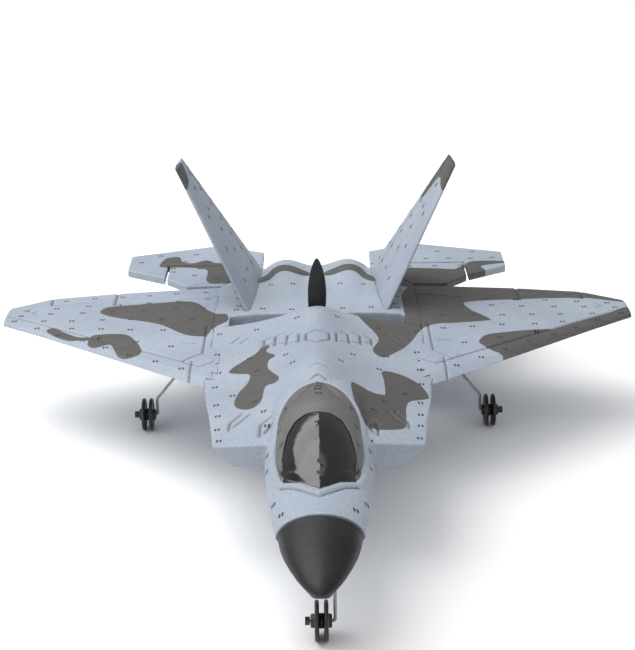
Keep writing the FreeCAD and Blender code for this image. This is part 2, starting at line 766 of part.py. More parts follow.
def build_controls(nodes):
    for name, side in SIDES.items():
        elevator = make_elevator().cut(make_moving_leaves())
        nodes[name + "_elevator"] = on_side(elevator, side)
        nodes[name + "_control_horn"] = on_side(make_control_horn(), side)
        nodes[name + "_hinge_leaves"] = on_side(make_fixed_leaves(), side)
        nodes[name + "_elevator_leaves"] = on_side(make_moving_leaves(), side)
        nodes[name + "_servo_arm"] = on_side(make_servo_arm(), side)
        nodes[name + "_pushrod"] = on_side(make_pushrod(), side)
    nodes["servo_screws"] = make_servo_screws()
    nodes["elevator_hinge_pins"] = make_hinge_pins()


def build_drive(nodes):
    nodes["motor_stator"] = make_motor_stator()
    nodes["motor_bearings"] = make_motor_bearings()
    nodes["motor_screws"] = make_motor_screws()
    nodes["motor_bell"] = make_motor_bell()
    nodes["motor_shaft"] = rod_y((222.4, 254.0), SHAFT_R)
    nodes["propeller"] = make_propeller()
    nodes["propeller_nut"] = make_propeller_nut()


def build_bay(nodes):
    nodes["equipment_tray"] = make_equipment_tray()
    nodes["battery"] = make_battery()
    nodes["battery_strap"] = make_battery_strap()
    nodes["battery_plug"] = make_battery_plug()
    nodes["flight_controller"] = make_flight_controller()
    nodes["speed_controller"] = make_speed_controller()
    nodes["battery_hatch"] = make_battery_hatch()
    nodes["hatch_hinge_leaf"] = make_hatch_hinge_leaf()
    nodes["hatch_hinge_pin"] = make_hatch_pin()
    nodes["hatch_magnet"] = make_hatch_magnet()


def build_gear(nodes):
    x, y = MAIN_WHEEL
    for name, side in SIDES.items():
        nodes[name + "_gear_leg"] = on_side(make_main_leg(), side)
        nodes[name + "_wheel"] = on_side(make_wheel(x, y), side)
    nodes["nose_gear_leg"] = make_nose_leg()
    nodes["nose_wheel"] = mirror(make_wheel(*NOSE_WHEEL))
    nodes["axle_caps"] = make_axle_caps()


parts = {}
build_body(parts)
build_controls(parts)
build_drive(parts)
build_bay(parts)
build_gear(parts)
export(parts)
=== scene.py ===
import json
import math

import bpy
import numpy as np
from mathutils import Matrix, Vector
from mathutils.bvhtree import BVHTree


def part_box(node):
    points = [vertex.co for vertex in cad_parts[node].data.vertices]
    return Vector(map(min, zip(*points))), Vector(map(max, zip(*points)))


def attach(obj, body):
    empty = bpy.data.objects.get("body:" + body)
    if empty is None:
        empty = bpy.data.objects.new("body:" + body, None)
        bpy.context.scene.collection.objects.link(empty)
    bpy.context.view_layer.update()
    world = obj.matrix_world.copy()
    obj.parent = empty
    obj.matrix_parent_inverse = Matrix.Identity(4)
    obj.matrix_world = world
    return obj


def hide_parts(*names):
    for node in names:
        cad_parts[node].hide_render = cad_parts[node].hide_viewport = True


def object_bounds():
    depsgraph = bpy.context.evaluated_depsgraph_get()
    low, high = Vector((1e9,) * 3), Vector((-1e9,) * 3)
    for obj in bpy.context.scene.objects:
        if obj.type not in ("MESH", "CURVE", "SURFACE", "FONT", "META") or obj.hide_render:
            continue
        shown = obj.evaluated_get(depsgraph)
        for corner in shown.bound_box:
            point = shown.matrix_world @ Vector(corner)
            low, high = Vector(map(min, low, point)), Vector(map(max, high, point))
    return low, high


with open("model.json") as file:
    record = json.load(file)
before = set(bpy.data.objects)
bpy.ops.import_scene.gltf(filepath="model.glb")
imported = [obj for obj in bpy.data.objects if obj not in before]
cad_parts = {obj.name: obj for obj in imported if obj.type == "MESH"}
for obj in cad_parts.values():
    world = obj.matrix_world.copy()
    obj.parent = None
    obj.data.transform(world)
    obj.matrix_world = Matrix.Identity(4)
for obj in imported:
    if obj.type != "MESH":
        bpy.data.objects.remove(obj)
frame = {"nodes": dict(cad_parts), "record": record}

# Looks of a small foam radio-controlled jet. Outlines and sizes are in millimetres: x sideways,
# a station measured aft from the nose tip, and a height from the wing plane. point() turns them
# into the frame's metres. The foam skins and the small pieces are built around the CAD nodes.

START_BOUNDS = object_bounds()
MM = 0.001
NOSE_Y = START_BOUNDS[0][1]
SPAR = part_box("wing_spar")
WING_Z = (SPAR[0].z + SPAR[1].z) / 2
SEED = 7

CONE_SEAM = 38.0
HINGE_STATION = 347.0
UNPAINTED = -5.0                  # a painted outline's depth where nothing is painted
PAINT_FRONT = 68.0                # the foam ahead of this station isn't painted canopy colour
PAINT_FLOOR = 4.0                 # nor is the foam below this height
LOOK_DOWN = 60.0                  # rays down on the plane start at this height

# ---- camouflage outlines, seen from above ----
CAMO_PLAN = [
    # -X wing, behind the spar
    [(-101, 268), (-100, 275), (-95, 278), (-79, 282), (-63, 285), (-56, 280), (-52, 270),
     (-46, 262), (-42, 260), (-41, 250), (-47, 242), (-50, 231), (-58, 232.5), (-64, 239),
     (-71, 248), (-80, 254), (-94, 261)],
    # -X wing, over the leading edge
    [(-123, 245), (-119.5, 248), (-115, 242), (-108, 235), (-103, 233.6), (-99.6, 236),
     (-92.5, 237), (-85.5, 235), (-80.7, 226), (-77, 214), (-78.3, 208), (-83, 206.6),
     (-87, 210), (-89.4, 217), (-92, 223), (-97.8, 220.6), (-101.8, 224.3), (-102.8, 230),
     (-110.5, 231), (-119.5, 239)],
    # -X intake trunk
    [(-24, 205), (-20.5, 203), (-22, 197), (-18, 188), (-20.6, 184), (-20.6, 174), (-16, 158.5),
     (-17.3, 154), (-21.3, 154), (-22.7, 141), (-26.2, 136.5), (-30.7, 138.5), (-33.7, 145),
     (-32.5, 155.5), (-28.8, 165), (-28.5, 173.7), (-33.4, 178), (-37.4, 182), (-35.5, 187.4),
     (-31, 193), (-26.3, 198.4)],
    # +X intake trunk
    [(13, 146.5), (16, 149), (21, 147), (25.3, 147.7), (26.8, 150), (26.8, 165), (26.3, 173),
     (30, 176), (36.5, 173.7), (42, 166.6), (44.7, 156), (43.3, 152.4), (36.8, 147.4),
     (34.7, 140), (34.2, 129), (33, 120), (26.5, 115.5), (21, 114), (16.8, 115.8), (15.2, 122),
     (13.7, 128)],
    # +X wing root, rail and rear edge
    [(20, 246), (20, 236), (25.5, 221), (26.4, 212.5), (23.5, 198), (27.4, 191.7), (33.8, 202),
     (38, 210), (42, 220.5), (44.7, 229.5), (48.3, 239), (54.6, 244), (62, 245), (76.8, 248),
     (78.9, 250.4), (74.7, 258.5), (71, 265), (70.5, 277), (96, 281), (126, 283), (143, 277),
     (147, 284), (128, 300), (97, 306), (48, 313), (44, 300), (40, 284), (40, 262), (38, 250)],
    # +X wing, leading edge from mid-span to the tip
    [(71.3, 221), (74.9, 228), (82.6, 231.4), (94.7, 234.6), (105.5, 237), (116, 245.2), (131, 257.2),
     (146, 269.4), (152, 262), (150, 248), (84, 194), (79.7, 203.6), (76.4, 207.3), (73.9, 211),
     (71, 216.8)],
    # rear humps, round a light zig-zag
    [(29, 304), (24, 307), (20, 316), (16, 319), (8.5, 317), (4, 320), (4, 327), (8.6, 329),
     (16.2, 331), (21.5, 329), (26, 319), (30, 311)],
    [(-29, 304), (-24, 307), (-20, 316), (-16, 319), (-8.5, 317), (-4, 320), (-4, 327),
     (-8.6, 329), (-16.2, 331), (-21.5, 329), (-26, 319), (-30, 311)],
    # -X tail, along the hinge
    [(-79, 353), (-77, 360), (-71, 361), (-68.5, 352), (-63, 349.6), (-57, 354.5), (-52, 350),
     (-43, 346), (-41, 330), (-42, 316), (-47, 313.6), (-52, 314), (-54.7, 320), (-54.7, 331),
     (-56.3, 338.5), (-66, 342), (-79, 343.5)],
    # +X tail, inner front half and round the cut
    [(36, 334), (57, 335), (69, 333), (74, 340), (77.5, 345), (82, 347), (93, 346.5),
     (97, 344), (90, 341), (83, 337.5), (84.5, 330), (86, 322), (76, 316), (60, 303), (36, 303)],
]

# Outlines on a fin's own plane: (station, distance from the foot along the fin).
CAMO_FIN = {
    "right": [[(279, 58), (284, 59.5), (291, 61), (296, 65), (298, 73), (283, 74), (276, 60)]],
    "left": [[(279, 57), (287, 58), (294, 60), (300, 57), (307, 46), (311, 44), (316, 50),
              (312, 72), (284, 74), (276, 60)]],
}

# ---- moulded lines: points, width and depth in mm. A negative depth is a raised ridge ----
PANEL_LINES = [
    ([(125.8, 282.4), (96.6, 290.2)], 0.9, 0.8),
    ([(96.0, 280.3), (46.5, 292.8)], 0.9, 0.8),
    ([(96.5, 304.0), (95.8, 280.3)], 0.9, 0.9),
    ([(127.2, 297.5), (125.8, 282.4)], 0.9, 0.9),
    ([(50.4, 192.5), (145.5, 269.0)], 0.9, 0.7),
    ([(54.2, 178.0), (54.0, 199.0)], 0.8, 0.6),
    ([(50.0, 246.0), (50.0, 208.0), (58.2, 199.0)], 0.8, 0.6),
    ([(43.2, 198.2), (50.4, 192.2)], 0.8, 0.5),
    ([(53.0, 221.8), (59.0, 222.2)], 0.7, 0.4),
    ([(30.5, 222.0), (34.0, 216.0)], 0.8, 0.5),
    ([(34.3, 224.5), (38.0, 218.0)], 0.8, 0.5),
    ([(130.0, 268.0), (133.0, 271.0), (131.0, 274.0)], 0.6, 0.4),
]

VENTS = [
    ([(18.6, 201.5), (18.5, 213.5), (15.8, 215.2)], 1.1, 0.7),
    ([(13.7, 198.0), (13.2, 210.3), (10.8, 211.5)], 1.1, 0.7),
    ([(8.3, 196.0), (8.3, 207.0)], 1.1, 0.7),
    ([(23.4, 204.5), (23.4, 213.0), (20.6, 214.6)], 1.1, 0.7),
    ([(12.4, 199.6), (9.6, 198.6)], 1.0, 0.5),
    ([(17.4, 203.4), (14.8, 202.4)], 1.0, 0.5),
    ([(22.2, 206.6), (19.8, 205.6)], 1.0, 0.5),
    ([(0.0, 206.4), (5.2, 204.0), (5.2, 196.0), (0.0, 190.0)], 1.1, 0.7),
    ([(0.0, 154.0), (4.0, 151.0)], 1.0, 0.6),
    ([(0.0, 141.5), (3.2, 138.2)], 1.0, 0.6),
    ([(35.0, 121.0), (34.7, 127.6), (30.3, 134.5)], 1.1, 0.7),
    ([(33.2, 123.6), (27.2, 131.8)], 1.1, 0.7),
    ([(22.7, 109.7), (22.7, 119.6), (17.8, 124.4)], 1.1, 0.7),
    ([(18.4, 117.2), (20.9, 111.6)], 1.2, 0.8),
]

TAIL_LINES = [
    ([(27.0, HINGE_STATION - 1.2), (75.0, HINGE_STATION - 1.2)], 0.8, 0.5),
    ([(47.0, 316.0), (60.0, 313.0)], 0.7, 0.4),
]

NOZZLE_LINES = [
    ([(0.0, 322.0), (8.6, 321.0), (16.0, 322.5), (21.0, 319.5), (25.0, 309.5)], 1.0, 0.6),
    ([(0.0, 334.0), (8.6, 334.5), (16.3, 335.0), (21.7, 336.0), (26.0, 328.0)], 1.0, 0.6),
]

FIN_LINES = [
    ([(323.0, 2.0), (305.4, 69.0)], 0.8, 0.5),
    ([(319.6, 2.0), (303.6, 69.0)], 0.6, 0.3),
]

# ---- canopy ----
BUBBLE = [(53.0, 0.8, 4.9), (61.0, 8.1, 8.4), (71.0, 13.5, 13.2), (84.0, 16.2, 17.8),
          (97.0, 16.6, 19.8), (110.0, 15.0, 19.4), (122.0, 11.5, 18.2), (134.0, 4.0, 16.2)]
GLASS_HALF = [(0.0, 54.8), (3.4, 57.4), (7.8, 61.4), (12.9, 64.9), (14.0, 70.0), (13.8, 76.0), (13.2, 80.0),
              (11.9, 85.6), (9.0, 90.6), (5.0, 92.8), (0.0, 93.0)]
FRAME_HALF = [(0.0, 55.6), (3.5, 58.4), (8.0, 62.6), (12.6, 66.0), (14.2, 68.0), (15.3, 74.0), (15.9, 83.0),
              (16.1, 97.0), (15.6, 112.0), (14.5, 118.5), (11.5, 126.0), (6.6, 131.6), (0.0, 134.5)]
GLASS_BEADS = [(-0.6, 85.4, 1.0), (-1.2, 83.6, 0.7), (-2.0, 76.5, 0.8), (0.2, 75.6, 0.9), (-0.9, 66.4, 0.9),
               (0.3, 64.0, 0.8), (-1.1, 61.6, 0.9), (-0.2, 59.0, 0.8), (10.6, 76.0, 0.6)]
GLASS_RIDGE = 0.06                # fall of the glazing, mm per mm, either side of its middle
GLASS_LIFT = 0.12
RIM_LINES = [
    ([(0.0, 52.6), (3.8, 55.6), (8.3, 60.0), (14.2, 63.8), (16.2, 72.0)], 2.4, -0.7),
    ([(0.0, 50.6), (4.2, 53.8), (8.8, 58.3), (14.0, 62.0)], 0.7, 0.35),
    ([(16.2, 72.0), (17.5, 83.0), (17.8, 97.0), (17.2, 112.0), (15.8, 119.5), (12.4, 127.6),
      (7.0, 133.4), (0.0, 136.4)], 1.7, -0.35),
]

# ---- rivet rows on the +X side: points and spacing in mm. They are repeated on the -X side ----
WING_RIVETS = [
    ([(54, 301), (120, 291)], 12.0),
    ([(52, 287.5), (136, 274)], 12.5),
    ([(53, 273), (138, 267)], 13.5),
    ([(58, 256), (126, 258)], 13.0),
    ([(56, 238), (112, 246)], 14.0),
    ([(64, 218), (98, 232)], 13.0),
    ([(58, 190), (140, 259)], 15.0),
]
BODY_RIVETS = [
    ([(9, 228), (44, 232)], 12.0),
    ([(14, 184), (43, 205)], 12.5),
    ([(10, 168), (42, 184)], 13.0),
    ([(26, 142), (43, 168)], 13.5),
    ([(21, 130), (19, 104)], 13.0),
    ([(38, 112), (41, 148)], 12.0),
    ([(18.5, 60), (19.5, 96)], 12.0),
    ([(13, 46), (17, 56)], 10.5),
]
DECK_RIVETS = [
    ([(12, 262), (38, 264)], 13.0),
    ([(11, 300), (22, 300)], 10.0),
    ([(36, 270), (40, 304)], 11.0),
]
TAIL_RIVETS = [
    ([(50, 322), (72, 334)], 9.0),
    ([(46, 339), (72, 340)], 10.0),
    ([(44, 352), (90, 352)], 11.5),
    ([(46, 366), (80, 364)], 11.5),
]
FIN_RIVETS = [
    ([(330, 4), (308, 64)], 9.5),
    ([(318, 6), (302, 62)], 9.5),
    ([(300, 8), (294, 56)], 12.0),
    ([(283, 8), (288, 42)], 14.0),
]
FRAME_RIVETS = [
    ([(14.3, 84.0), (13.2, 119.5)], 11.8),
    ([(0.0, 131.5), (0.0, 113.0)], 6.0),
]

# ---- landing gear, fins ----
AXLE_HEIGHT = 7.4                 # above the floor
MAIN_WHEEL = (78.4, 242.0)
WIRE_RADIUS = 0.6
WIRE_BEND = 1.1
FIN_FOOT = (31.3, 298.0, 5.0)     # middle of the fin's foot
FIN_TOE = math.radians(2.2)
FIN_LEAN = math.atan2(64.35 - 31.3, 61.0)

SIDES = {"left": 1, "right": -1}
BODY_OF = {name: body for body, names in frame["record"]["behaviour"]["bodies"].items() for name in names}


def point(x, station, height):
    """A place in the frame, from millimetres aft of the nose tip and above the wing plane."""
    return Vector((x * MM, NOSE_Y + station * MM, WING_Z + height * MM))


def to_mm(co):
    """Frame coordinates of an array of points as (x, station, height) in millimetres."""
    return (co - np.array([0.0, NOSE_Y, WING_Z])) / MM


# ---- materials ----
PAINT_EDGE = 0.16                 # half the width of a painted edge, in mm
FRAME_DARK = (0.078, 0.076, 0.072)
FRAME_LIGHT = (0.140, 0.136, 0.129)


class Nodes:
    """A small helper that adds and links shader nodes in one material."""

    def __init__(self, name):
        self.material = bpy.data.materials.new(name)
        self.material.use_nodes = True
        self.tree = self.material.node_tree
        self.shader = self.tree.nodes["Principled BSDF"]

    def add(self, kind, links=None, **settings):
        node = self.tree.nodes.new(kind)
        for key, value in settings.items():
            setattr(node, key, value)
        for key, value in (links or {}).items():
            if isinstance(value, bpy.types.NodeSocket):
                self.tree.links.new(value, node.inputs[key])
            else:
                node.inputs[key].default_value = value
        return node

    def set(self, **values):
        for key, value in values.items():
            socket = self.shader.inputs[key.replace("_", " ")]
            if isinstance(value, bpy.types.NodeSocket):
                self.tree.links.new(value, socket)
            else:
                socket.default_value = value

    def ramp(self, factor, stops):
        node = self.add("ShaderNodeValToRGB", {"Fac": factor})
        ramp = node.color_ramp
        ramp.elements[0].position, ramp.elements[0].color = stops[0][0], (*stops[0][1], 1)
        ramp.elements[1].position, ramp.elements[1].color = stops[-1][0], (*stops[-1][1], 1)
        for position, color in stops[1:-1]:
            ramp.elements.new(position).color = (*color, 1)
        return node.outputs["Color"]

    def place(self):
        return self.add("ShaderNodeTexCoord").outputs["Object"]

    def noise(self, scale, detail=3.0, roughness=0.5, vector=None):
        links = {"Scale": scale, "Detail": detail, "Roughness": roughness, "Vector": vector or self.place()}
        return self.add("ShaderNodeTexNoise", links).outputs["Fac"]

    def stretched(self, scale):
        return self.add("ShaderNodeMapping", {"Vector": self.place(), "Scale": scale}).outputs["Vector"]

    def attribute(self, name):
        return self.add("ShaderNodeAttribute", attribute_name=name).outputs["Fac"]

    def ranged(self, value, from_min=0.0, from_max=1.0, to_min=0.0, to_max=1.0):
        links = {"Value": value, "From Min": from_min, "From Max": from_max}
        links.update({"To Min": to_min, "To Max": to_max})
        return self.add("ShaderNodeMapRange", links).outputs["Result"]

    def mix(self, factor, first, second):
        node = self.add("ShaderNodeMix", data_type="RGBA")
        for socket, value in ((node.inputs[0], factor), (node.inputs[6], first), (node.inputs[7], second)):
            if isinstance(value, bpy.types.NodeSocket):
                self.tree.links.new(value, socket)
            else:
                socket.default_value = value
        return node.outputs[2]

    def bump(self, height, distance, strength=1.0, normal=None):
        links = {"Height": height, "Distance": distance, "Strength": strength}
        if normal is not None:
            links["Normal"] = normal
        return self.add("ShaderNodeBump", links).outputs["Normal"]


def foam_material():
    """Moulded grey foam with painted camouflage, faint bead cells and painted shade along the cut moulded
    lines and the nose cone seam.
    """
    m = Nodes("painted_foam")
    cloud = m.noise(26.0, 4.0)
    speck = m.noise(900.0, 2.0)
    light = m.ramp(cloud, [(0.30, (0.282, 0.322, 0.386)), (0.70, (0.346, 0.387, 0.453))])
    brush = m.noise(60.0, 6.0, 0.7, m.stretched((2.0, 24.0, 2.0)))
    dark = m.ramp(brush, [(0.32, (0.056, 0.054, 0.051)), (0.70, (0.106, 0.101, 0.096))])
    camo = m.ranged(m.attribute("camo"), -PAINT_EDGE, PAINT_EDGE)
    paint = m.mix(camo, light, dark)
    framed = m.ranged(m.attribute("frame"), -PAINT_EDGE, PAINT_EDGE)
    paint = m.mix(framed, paint, m.ramp(cloud, [(0.3, FRAME_DARK), (0.7, FRAME_LIGHT)]))
    # Painted shade in the cut moulded lines and the nose cone seam, mixed over the paint.
    groove_shade = m.ranged(m.attribute("groove"), to_max=0.8)
    paint = m.mix(groove_shade, paint, (0.045, 0.047, 0.055, 1))
    grain = m.ramp(speck, [(0.36, (0.88, 0.88, 0.88)), (0.62, (1.0, 1.0, 1.0))])
    tinted = m.add("ShaderNodeMix", data_type="RGBA", blend_type="MULTIPLY")
    tinted.inputs[0].default_value = 1.0
    m.tree.links.new(paint, tinted.inputs[6])
    m.tree.links.new(grain, tinted.inputs[7])
    beads = m.add("ShaderNodeTexVoronoi", {"Scale": 620.0, "Vector": m.place()}, feature="SMOOTH_F1")
    bumped = m.bump(beads.outputs["Distance"], 0.00022, 0.35)
    bumped = m.bump(m.noise(170.0, 3.0), 0.0004, 0.25, bumped)
    rough = m.ranged(cloud, to_min=0.48, to_max=0.62)
    m.set(Base_Color=tinted.outputs[2], Roughness=rough, Normal=bumped, Specular_IOR_Level=0.32)
    return m.material


def speckled_material(name, low, high, roughness, scale=300.0, depth=0.0001, **extra):
    """Painted or moulded plastic: mottled colour and roughness with a fine surface grain."""
    m = Nodes(name)
    tone = m.noise(scale * 0.12, 4.0)
    grain = m.noise(scale, 3.0)
    color = m.ramp(tone, [(0.3, low), (0.7, high)])
    rough = m.ranged(grain, to_min=roughness - 0.07, to_max=roughness + 0.09)
    m.set(Base_Color=color, Roughness=rough, Normal=m.bump(grain, depth, 0.5), **extra)
    return m.material


def glass_material():
    """Gloss black paint on the glazing, with slightly uneven gloss."""
    m = Nodes("gloss_glazing")
    ripple = m.noise(240.0, 3.0)
    color = m.ramp(m.noise(40.0), [(0.3, (0.002, 0.002, 0.002)), (0.7, (0.004, 0.004, 0.004))])
    rough = m.ranged(ripple, to_min=0.08, to_max=0.18)
    bumped = m.bump(ripple, 0.0002, 0.45)
    m.set(Base_Color=color, Roughness=rough, Normal=bumped, Specular_IOR_Level=0.8)
    return m.material


def metal_material(name, low, high, roughness, stretch):
    """Drawn or turned metal with fine lines along one direction."""
    m = Nodes(name)
    lines = m.noise(90.0, 5.0, 0.6, m.stretched(stretch))
    color = m.ramp(lines, [(0.3, low), (0.7, high)])
    rough = m.ranged(lines, to_min=roughness, to_max=roughness + 0.15)
    bumped = m.bump(lines, 0.00004, 0.4)
    m.set(Base_Color=color, Metallic=1.0, Roughness=rough, Normal=bumped)
    return m.material


def weave_material(name, low, high, scale, roughness):
    """Woven cloth or laid carbon: two crossed sets of bands."""
    m = Nodes(name)
    across = m.add("ShaderNodeTexWave", {"Scale": scale, "Vector": m.place()}, bands_direction="X")
    along = m.add("ShaderNodeTexWave", {"Scale": scale, "Vector": m.place()}, bands_direction="Y")
    bands = {0: across.outputs["Fac"], 1: along.outputs["Fac"]}
    both = m.add("ShaderNodeMath", bands, operation="MULTIPLY").outputs[0]
    color = m.ramp(both, [(0.1, low), (0.9, high)])
    m.set(Base_Color=color, Roughness=roughness, Normal=m.bump(both, 0.0001, 0.6))
    return m.material


def wood_material():
    m = Nodes("birch_plywood")
    rings = m.noise(40.0, 6.0, 0.6, m.stretched((1.0, 1.0, 14.0)))
    color = m.ramp(rings, [(0.3, (0.42, 0.27, 0.14)), (0.7, (0.62, 0.45, 0.27))])
    m.set(Base_Color=color, Roughness=0.6, Normal=m.bump(rings, 0.0001, 0.4))
    return m.material


def make_materials():
    wire = metal_material("steel_wire", (0.20, 0.20, 0.21), (0.36, 0.36, 0.38), 0.32, (4.0, 4.0, 4.0))
    black = speckled_material("black_plastic", (0.008, 0.008, 0.009), (0.018, 0.018, 0.019), 0.38)
    return {
        "foam_grey": foam_material(),
        "nose_black": speckled_material("nose_paint", (0.007, 0.007, 0.007), (0.015, 0.014, 0.014), 0.46,
                                        420.0, 0.00016, Specular_IOR_Level=0.3),
        "glazing_black": glass_material(),
        "fairing_brown": speckled_material("canopy_frame_paint", FRAME_DARK, FRAME_LIGHT, 0.5, depth=0.00015),
        "carbon": weave_material("laid_carbon", (0.012, 0.012, 0.013), (0.05, 0.05, 0.052), 300.0, 0.35),
        "plywood": wood_material(),
        "motor_silver": metal_material("turned_aluminium", (0.55, 0.56, 0.58), (0.74, 0.75, 0.77), 0.22,
                                       (1.0, 30.0, 1.0)),
        "winding_copper": metal_material("copper_winding", (0.50, 0.19, 0.07), (0.78, 0.36, 0.17), 0.3,
                                         (1.0, 40.0, 1.0)),
        "steel": wire,
        "black_plastic": black,
        "brass_nut": metal_material("turned_brass", (0.58, 0.42, 0.18), (0.78, 0.60, 0.30), 0.2,
                                    (20.0, 1.0, 1.0)),
        "servo_case": speckled_material("blue_servo_case", (0.012, 0.05, 0.19), (0.02, 0.08, 0.27), 0.25),
        "white_nylon": speckled_material("white_nylon", (0.66, 0.66, 0.63), (0.78, 0.78, 0.75), 0.42),
        "battery_wrap": speckled_material("blue_shrink_wrap", (0.02, 0.06, 0.22), (0.04, 0.11, 0.34), 0.28),
        "strap_black": weave_material("strap_webbing", (0.01, 0.01, 0.01), (0.035, 0.035, 0.035),
                                      420.0, 0.8),
        "plug_white": speckled_material("cream_plug", (0.68, 0.66, 0.58), (0.78, 0.76, 0.68), 0.35),
        "board_green": speckled_material("circuit_board", (0.006, 0.07, 0.03), (0.014, 0.13, 0.055), 0.3),
    }


def node_slots():
    return {part["node"]: part["material_slot"] for part in frame["record"]["subparts"]}


def dress_nodes(materials):
    """Gives every CAD node the material of its slot."""
    for node, slot in node_slots().items():
        shown = frame["nodes"][node]
        if not shown.material_slots:
            shown.data.materials.append(materials[slot])
        for place in shown.material_slots:
            place.material = materials[slot]


def bevel_nodes(names, width):
    """Small rounded edges on the plain hardware."""
    for name in names:
        bevel = frame["nodes"][name].modifiers.new("edge", "BEVEL")
        bevel.width = width
        bevel.segments = 2
        bevel.limit_method = "ANGLE"
        bevel.angle_limit = math.radians(50)


# ---- mesh helpers ----
def add_object(name, vertices, faces, material, smooth=True):
    mesh = bpy.data.meshes.new(name)
    mesh.from_pydata([tuple(v) for v in vertices], [], faces)
    mesh.validate()
    mesh.materials.append(material)
    mesh.polygons.foreach_set("use_smooth", [smooth] * len(mesh.polygons))
    piece = bpy.data.objects.new(name, mesh)
    bpy.context.scene.collection.objects.link(piece)
    return piece


def settle(piece):
    """Applies a piece's modifiers for good."""
    bpy.context.view_layer.update()
    graph = bpy.context.evaluated_depsgraph_get()
    mesh = bpy.data.meshes.new_from_object(piece.evaluated_get(graph))
    piece.modifiers.clear()
    piece.data = mesh


def adopt(piece, node):
    """A new piece that stands for a CAD node and moves with its body."""
    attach(piece, BODY_OF[node])
    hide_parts(node)


def smooth_curve(points, steps=6, closed=True):
    """A Catmull-Rom curve through a few points, as an array."""
    p = np.array(points, float)
    if closed:
        p = np.vstack([p[-1], p, p[0], p[1]])
    else:
        p = np.vstack([2 * p[0] - p[1], p, 2 * p[-1] - p[-2]])
    rows = []
    for a, b, c, d in zip(p, p[1:], p[2:], p[3:]):
        for t in np.arange(steps) / steps:
            rows.append(0.5 * (2 * b + (c - a) * t + (2 * a - 5 * b + 4 * c - d) * t * t
                               + (3 * b - a - 3 * c + d) * t ** 3))
    if not closed:
        rows.append(p[-2])
    return np.array(rows)


def segment_distance(xy, a, b):
    along = b - a
    t = np.clip(((xy - a) @ along) / max(along @ along, 1e-9), 0, 1)
    return np.linalg.norm(xy - a - t[:, None] * along, axis=1)


def line_distance(xy, line):
    line = np.array(line, float)
    best = np.full(len(xy), 1e9)
    for a, b in zip(line, line[1:]):
        best = np.minimum(best, segment_distance(xy, a, b))
    return best


def inside_depth(xy, outline):
    """Signed distance to a closed outline, positive inside."""
    best = np.full(len(xy), 1e9)
    inside = np.zeros(len(xy), bool)
    for a, b in zip(outline, np.roll(outline, -1, axis=0)):
        best = np.minimum(best, segment_distance(xy, a, b))
        crosses = (a[1] > xy[:, 1]) != (b[1] > xy[:, 1])
        if b[1] != a[1]:
            at = a[0] + (xy[:, 1] - a[1]) * (b[0] - a[0]) / (b[1] - a[1])
            inside ^= crosses & (xy[:, 0] < at)
    return np.where(inside, best, -best)


def mesh_points(mesh):
    co = np.empty(len(mesh.vertices) * 3)
    mesh.vertices.foreach_get("co", co)
    normal = np.empty(len(mesh.vertices) * 3)
    mesh.vertices.foreach_get("normal", normal)
    return co.reshape(-1, 3), normal.reshape(-1, 3)


def store(mesh, name, values):
    layer = mesh.attributes.new(name, "FLOAT", "POINT")
    layer.data.foreach_set("value", values.astype(np.float32))


# ---- foam skins ----
def fin_plane(mm, side):
    """Coordinates on a fin's own plane: (station, distance along the fin from its foot)."""
    x = mm[:, 0] * side - FIN_FOOT[0]
    z = mm[:, 2] - FIN_FOOT[2]
    across = x * math.cos(FIN_LEAN) - z * math.sin(FIN_LEAN)
    up = x * math.sin(FIN_LEAN) + z * math.cos(FIN_LEAN)
    y = mm[:, 1] - FIN_FOOT[1]
    station = -across * math.sin(FIN_TOE) + y * math.cos(FIN_TOE) + FIN_FOOT[1]
    return np.stack([station, up], axis=1)


def carve(mm, flat, lines, mirrored=True):
    """Depth in mm of the moulded lines at each point, and the painted shade along the cut ones."""
    depth = np.zeros(len(mm))
    dark = np.zeros(len(mm))
    at = np.stack([np.abs(flat[:, 0]), flat[:, 1]], axis=1) if mirrored else flat
    for line, width, cut in lines:
        low = np.min(line, axis=0) - 4
        high = np.max(line, axis=0) + 4
        near = np.all((at > low) & (at < high), axis=1)
        if not near.any():
            continue
        gap = line_distance(at[near], line)
        profile = np.clip(1.15 - gap / (width / 2 + 0.35), 0, 1)
        depth[near] += cut * profile * profile * (3 - 2 * profile)
        # Cut lines also get painted shade, darkest along their middle.
        if cut > 0:
            dark[near] = np.maximum(dark[near], np.clip(1.25 - gap / (width * 0.5), 0, 1))
    return depth, dark


def cone_seam(mm):
    """Painted shade along the thin seam behind the nose cone."""
    return np.clip(1.6 - np.abs(mm[:, 1] - CONE_SEAM) / 0.5, 0, 1)


def frame_paint(node, mm, above):
    """Depth inside the canopy frame's outline, where the foam is painted to match the frame."""
    if node != "forward_fuselage":
        return np.full(len(mm), UNPAINTED)
    outline = np.array(FRAME_HALF + [(-x, y) for x, y in FRAME_HALF[-2:0:-1]])
    depth = inside_depth(mm[:, :2], smooth_curve(outline))
    return np.where(above & (mm[:, 2] > PAINT_FLOOR) & (mm[:, 1] > PAINT_FRONT), depth, UNPAINTED)


def camo_depth(flat, outlines):
    """Depth inside the camouflage patches, positive inside one."""
    camo = np.full(len(flat), UNPAINTED)
    for outline in outlines:
        curve = smooth_curve(outline)
        near = np.all((flat > curve.min(0) - 2) & (flat < curve.max(0) + 2), axis=1)
        if near.any():
            camo[near] = np.maximum(camo[near], inside_depth(flat[near], curve))
    return camo


def rounded_copy(node, voxel, rounds):
    """An even, slightly rounded copy of a CAD node's mesh."""
    skin = bpy.data.objects.new("skin_" + node, frame["nodes"][node].data.copy())
    bpy.context.scene.collection.objects.link(skin)
    remesh = skin.modifiers.new("voxels", "REMESH")
    remesh.mode = "VOXEL"
    remesh.voxel_size = voxel * MM
    remesh.use_smooth_shade = True
    soften = skin.modifiers.new("soften", "SMOOTH")
    soften.factor = 0.5
    soften.iterations = rounds
    settle(skin)
    return skin


